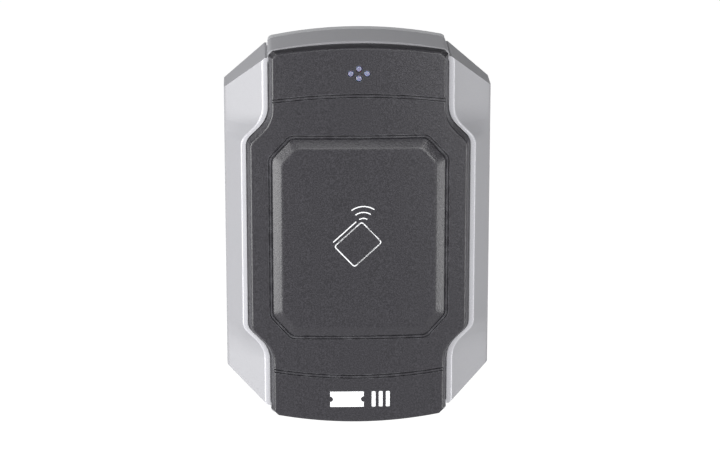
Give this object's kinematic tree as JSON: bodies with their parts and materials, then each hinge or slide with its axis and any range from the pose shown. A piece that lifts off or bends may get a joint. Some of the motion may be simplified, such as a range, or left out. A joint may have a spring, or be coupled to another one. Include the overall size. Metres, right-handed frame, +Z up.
{
  "type": "contactless ticket reader",
  "caption": "Wall-mounted contactless ticket reader: silver winged metal housing, black fascia with a raised reading pad and status lights, hung on a hooked steel wall plate.",
  "frame": {"origin": "centre of the wall plate's back face, on the wall", "axes": "+Z up along the reader's length, -Y out of the wall towards the user, +X to the user's right"},
  "size_m": [0.1, 0.0323, 0.1486],
  "materials": {
    "silver_paint": "satin silver paint on die-cast zinc",
    "black_plastic": "fine spark-eroded grain",
    "cover_grey": "moulded, fine grain",
    "lens_clear": "clear polycarbonate, unlit",
    "black_rubber": "matt silicone",
    "board_green": "solder mask on glass-epoxy board",
    "chip_black": "moulded epoxy",
    "copper_track": "bare copper",
    "ferrite_dark": "sintered sheet with film",
    "led_white": "clear epoxy",
    "can_metal": "drawn can",
    "header_cream": "moulded nylon",
    "switch_blue": "moulded",
    "slider_white": "moulded",
    "zinc_steel": "zinc plated"
  },
  "bodies": {
    "wall_plate": {"mounting_plate": "zinc_steel"},
    "reader": {"housing": "silver_paint", "fascia": "black_plastic", "rear_cover": "cover_grey", "light_guide": "lens_clear", "fascia_gasket": "black_rubber", "rear_seal": "black_rubber", "service_seal": "black_rubber", "antenna_board": "board_green", "main_board": "board_green", "antenna_coil": "copper_track", "ferrite_sheet": "ferrite_dark", "rf_chip": "chip_black", "mcu_chip": "chip_black", "transceiver_chip": "chip_black", "regulator": "chip_black", "buzzer": "chip_black", "board_link_header": "chip_black", "tamper_switch_body": "chip_black", "crystal": "can_metal", "capacitor_1": "can_metal", "capacitor_2": "can_metal", "led_1": "led_white", "led_2": "led_white", "led_3": "led_white", "led_4": "led_white", "wiring_header": "header_cream", "dip_switch_body": "switch_blue", "rear_cover_screw_1": "zinc_steel", "rear_cover_screw_2": "zinc_steel", "rear_cover_screw_3": "zinc_steel", "rear_cover_screw_4": "zinc_steel", "board_screw_1": "zinc_steel", "board_screw_2": "zinc_steel", "board_screw_3": "zinc_steel", "board_screw_4": "zinc_steel", "fascia_screw_1": "zinc_steel", "fascia_screw_2": "zinc_steel", "fascia_screw_3": "zinc_steel", "fascia_screw_4": "zinc_steel"},
    "tamper_plunger": {"tamper_plunger": "slider_white"},
    "locking_screw": {"locking_screw": "zinc_steel"},
    "dip_slider_1": {"dip_slider_1": "slider_white"},
    "dip_slider_2": {"dip_slider_2": "slider_white"},
    "dip_slider_3": {"dip_slider_3": "slider_white"},
    "dip_slider_4": {"dip_slider_4": "slider_white"},
    "dip_slider_5": {"dip_slider_5": "slider_white"},
    "dip_slider_6": {"dip_slider_6": "slider_white"},
    "dip_slider_7": {"dip_slider_7": "slider_white"},
    "dip_slider_8": {"dip_slider_8": "slider_white"}
  },
  "joints": [
    {"name": "unhook_lift", "type": "slide", "parent": "wall_plate", "child": "reader", "axis": [0, 0, 1], "range_m": [0, 0.0052]},
    {"name": "tamper_press", "type": "slide", "parent": "reader", "child": "tamper_plunger", "axis": [0, -1, 0], "range_m": [0, 0.0008], "stiffness_N_per_m": 400, "springref_m": -0.002},
    {"name": "locking_screw_out", "type": "slide", "parent": "reader", "child": "locking_screw", "axis": [0, 0, -1], "range_m": [0, 0.004]},
    {"name": "dip_switch_1", "type": "slide", "parent": "reader", "child": "dip_slider_1", "axis": [0, 0, 1], "range_m": [0, 0.0012]},
    {"name": "dip_switch_2", "type": "slide", "parent": "reader", "child": "dip_slider_2", "axis": [0, 0, 1], "range_m": [0, 0.0012]},
    {"name": "dip_switch_3", "type": "slide", "parent": "reader", "child": "dip_slider_3", "axis": [0, 0, 1], "range_m": [0, 0.0012]},
    {"name": "dip_switch_4", "type": "slide", "parent": "reader", "child": "dip_slider_4", "axis": [0, 0, 1], "range_m": [0, 0.0012]},
    {"name": "dip_switch_5", "type": "slide", "parent": "reader", "child": "dip_slider_5", "axis": [0, 0, 1], "range_m": [0, 0.0012]},
    {"name": "dip_switch_6", "type": "slide", "parent": "reader", "child": "dip_slider_6", "axis": [0, 0, 1], "range_m": [0, 0.0012]},
    {"name": "dip_switch_7", "type": "slide", "parent": "reader", "child": "dip_slider_7", "axis": [0, 0, 1], "range_m": [0, 0.0012]},
    {"name": "dip_switch_8", "type": "slide", "parent": "reader", "child": "dip_slider_8", "axis": [0, 0, 1], "range_m": [0, 0.0012]}
  ]
}
